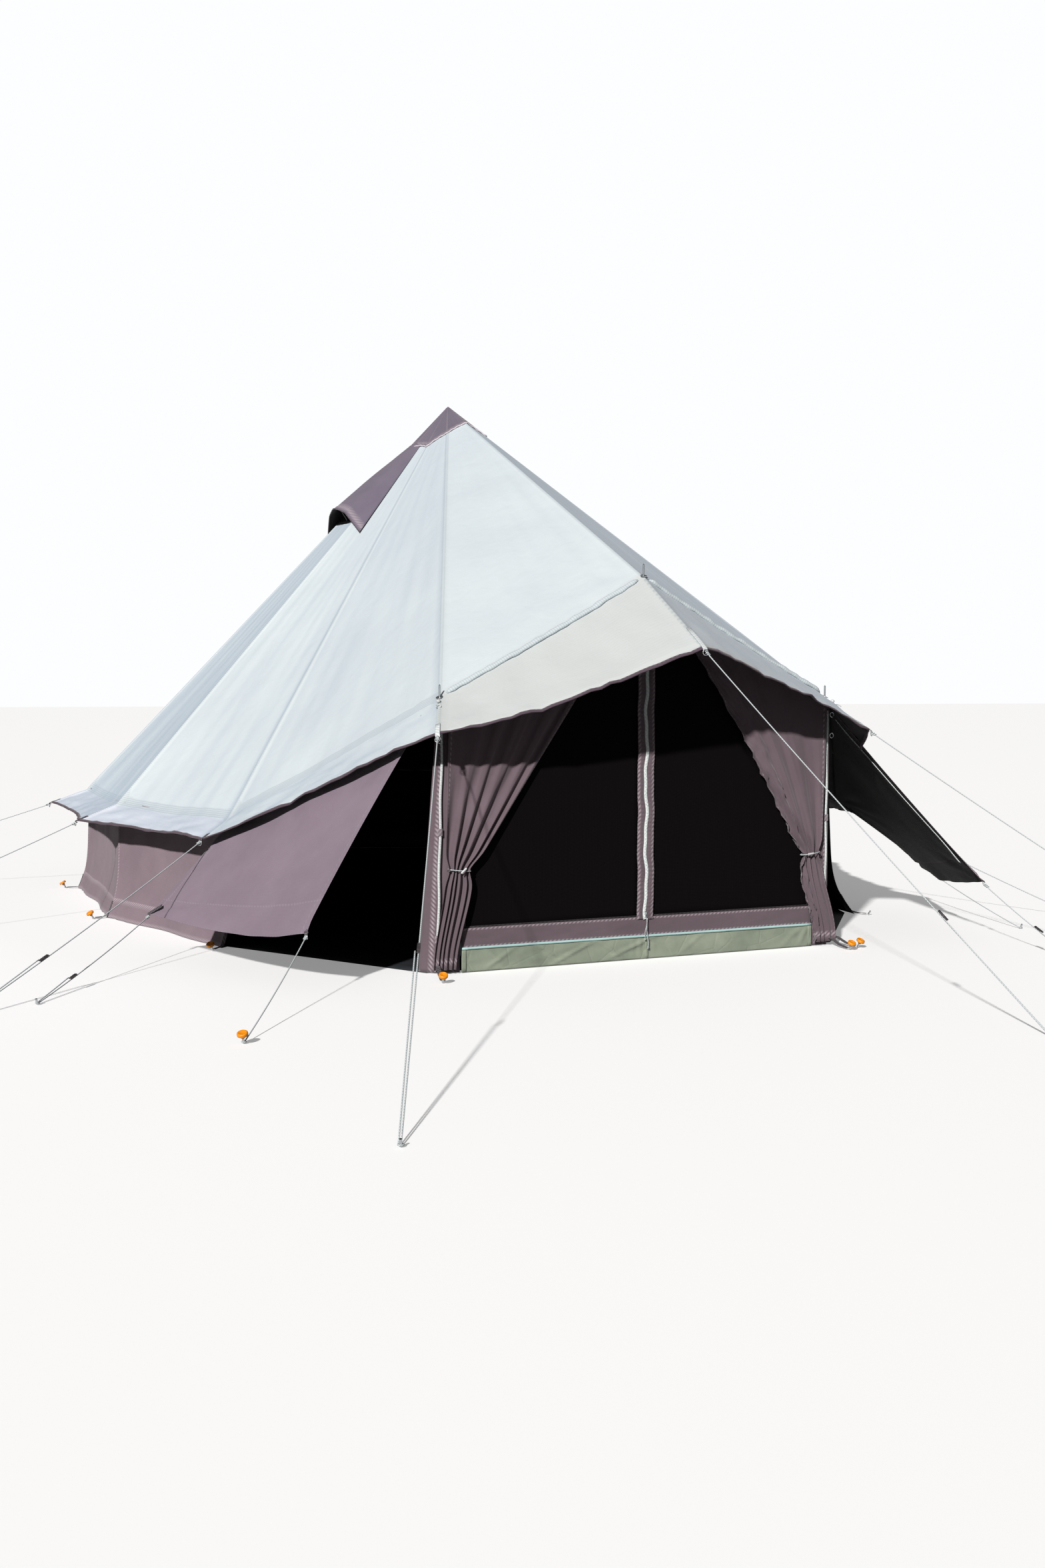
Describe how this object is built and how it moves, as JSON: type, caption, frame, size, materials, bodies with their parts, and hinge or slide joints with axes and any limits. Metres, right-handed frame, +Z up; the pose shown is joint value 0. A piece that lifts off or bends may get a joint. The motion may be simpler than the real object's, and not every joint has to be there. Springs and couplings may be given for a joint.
{
  "type": "bell tent",
  "caption": "Round bell tent with a three-pole front, mesh doors behind tied curtains, lifted side-door panels and guy ropes.",
  "frame": {"origin": "on the ground at the groundsheet's underside, under the centre pole", "axes": "+Z up, front doorway faces -Y, +X to the right seen from the front"},
  "size_m": [6.7926, 7.5306, 3.0069],
  "materials": {
    "roof_cloth": "matt woven polycotton, pale blue-grey",
    "mauve_cloth": "matt woven polyester, mauve-grey",
    "groundsheet_vinyl": "coated groundsheet cloth, sage green",
    "door_mesh": "fine black insect mesh",
    "pole_steel": "satin zinc-plated tube",
    "foot_rubber": "moulded",
    "guy_rope": "braided cord",
    "runner_plastic": "moulded",
    "zip_metal": "cast and plated"
  },
  "bodies": {
    "tent": {"roof_front_left": "roof_cloth", "roof_door_left": "roof_cloth", "roof_side_left": "roof_cloth", "roof_flank_left": "roof_cloth", "roof_rear_left": "roof_cloth", "roof_back_left": "roof_cloth", "roof_front_right": "roof_cloth", "roof_door_right": "roof_cloth", "roof_side_right": "roof_cloth", "roof_flank_right": "roof_cloth", "roof_rear_right": "roof_cloth", "roof_back_right": "roof_cloth", "porch_canopy_left": "roof_cloth", "porch_canopy_right": "roof_cloth", "wall_side_left": "mauve_cloth", "wall_flank_left": "mauve_cloth", "wall_rear_left": "mauve_cloth", "wall_back_left": "mauve_cloth", "wall_side_right": "mauve_cloth", "wall_flank_right": "mauve_cloth", "wall_rear_right": "mauve_cloth", "wall_back_right": "mauve_cloth", "sill": "mauve_cloth", "door_zip": "mauve_cloth", "apex_cap": "mauve_cloth", "vent_hood": "mauve_cloth", "corner_column_left": "mauve_cloth", "corner_column_right": "mauve_cloth", "curtain_left": "mauve_cloth", "curtain_right": "mauve_cloth", "groundsheet": "groundsheet_vinyl", "threshold": "groundsheet_vinyl", "door_pole_centre": "pole_steel", "door_pole_left": "pole_steel", "door_pole_right": "pole_steel", "centre_pole_lower": "pole_steel", "centre_pole_upper": "pole_steel", "centre_pole_foot": "foot_rubber", "guy_rear_left": "guy_rope", "guy_flank_left": "guy_rope", "guy_side_left": "guy_rope", "guy_door_left": "guy_rope", "guy_peak": "guy_rope", "guy_door_right": "guy_rope", "guy_side_right": "guy_rope"},
    "panel_left": {"side_panel_left": "mauve_cloth"},
    "panel_right": {"side_panel_right": "mauve_cloth"},
    "guy_tall_left": {"panel_guy_tall_left": "guy_rope"},
    "guy_short_left": {"panel_guy_short_left": "guy_rope"},
    "guy_tall_right": {"panel_guy_tall_right": "guy_rope"},
    "guy_short_right": {"panel_guy_short_right": "guy_rope"},
    "mesh_left": {"mesh_door_left": "door_mesh"},
    "mesh_right": {"mesh_door_right": "door_mesh"},
    "slider": {"zip_slider": "zip_metal"},
    "runner_side": {"runner_guy_side_left": "runner_plastic"},
    "runner_door": {"runner_guy_door_left": "runner_plastic"},
    "runner_peak": {"runner_guy_peak": "runner_plastic"},
    "runner_panel_left": {"runner_panel_guy_short_left": "runner_plastic"},
    "runner_panel_right": {"runner_panel_guy_tall_right": "runner_plastic"}
  },
  "joints": [
    {"name": "side_panel_left_swing", "type": "hinge", "parent": "tent", "child": "panel_left", "pos_m": [-0.99781, -2.73291, 1.172], "axis": [0.532, -0.734, 0.422], "range_deg": [0, 42]},
    {"name": "side_panel_right_swing", "type": "hinge", "parent": "tent", "child": "panel_right", "pos_m": [0.99781, -2.73291, 1.172], "axis": [0.532, 0.734, -0.422], "range_deg": [0, 46]},
    {"name": "panel_guy_tall_left_fold", "type": "hinge", "parent": "panel_left", "child": "guy_tall_left", "pos_m": [-1.64195, -3.01225, 0.25356], "axis": [-0.9799, -0.0686, -0.1875], "range_deg": [0, 78.7]},
    {"name": "panel_guy_short_left_fold", "type": "hinge", "parent": "panel_left", "child": "guy_short_left", "pos_m": [-2.11692, -1.93878, 0.20627], "axis": [-0.9409, 0.2512, -0.2271], "range_deg": [0, 57.2]},
    {"name": "panel_guy_tall_right_fold", "type": "hinge", "parent": "panel_right", "child": "guy_tall_right", "pos_m": [1.6959, -3.02547, 0.29859], "axis": [-0.9367, 0.2574, 0.2375], "range_deg": [0, 86.7]},
    {"name": "panel_guy_short_right_fold", "type": "hinge", "parent": "panel_right", "child": "guy_short_right", "pos_m": [2.15385, -1.94067, 0.24956], "axis": [-0.9508, -0.0743, 0.3006], "range_deg": [0, 52]},
    {"name": "mesh_left_swing", "type": "hinge", "parent": "tent", "child": "mesh_left", "pos_m": [-0.893, -2.745, 0.18], "axis": [0, 0, 1], "range_deg": [0, 65]},
    {"name": "mesh_right_swing", "type": "hinge", "parent": "tent", "child": "mesh_right", "pos_m": [0.893, -2.745, 0.18], "axis": [0, 0, -1], "range_deg": [0, 65]},
    {"name": "zip_slide", "type": "slide", "parent": "tent", "child": "slider", "axis": [0, 0, 1], "range_m": [0, 1.38]},
    {"name": "runner_side_slide", "type": "slide", "parent": "tent", "child": "runner_side", "axis": [-0.6763, -0.6637, -0.3194], "range_m": [-0.2, 0.15]},
    {"name": "runner_door_slide", "type": "slide", "parent": "tent", "child": "runner_door", "axis": [-0.3279, -0.8408, -0.4307], "range_m": [-0.25, 0.25]},
    {"name": "runner_peak_slide", "type": "slide", "parent": "tent", "child": "runner_peak", "axis": [0.324, -0.6628, -0.675], "range_m": [-0.25, 0.2]},
    {"name": "runner_panel_left_slide", "type": "slide", "parent": "guy_short_left", "child": "runner_panel_left", "axis": [-0.5492, -0.8151, -0.1846], "range_m": [-0.1, 0.1]},
    {"name": "runner_panel_right_slide", "type": "slide", "parent": "guy_tall_right", "child": "runner_panel_right", "axis": [0.1721, -0.867, -0.4677], "range_m": [-0.06, 0.06]}
  ],
  "couplings": [
    {"joint": "panel_guy_tall_left_fold", "follows": "side_panel_left_swing", "ratio": 1.8612},
    {"joint": "panel_guy_short_left_fold", "follows": "side_panel_left_swing", "ratio": 1.3493},
    {"joint": "panel_guy_tall_right_fold", "follows": "side_panel_right_swing", "ratio": 1.8737},
    {"joint": "panel_guy_short_right_fold", "follows": "side_panel_right_swing", "ratio": 1.1203}
  ]
}
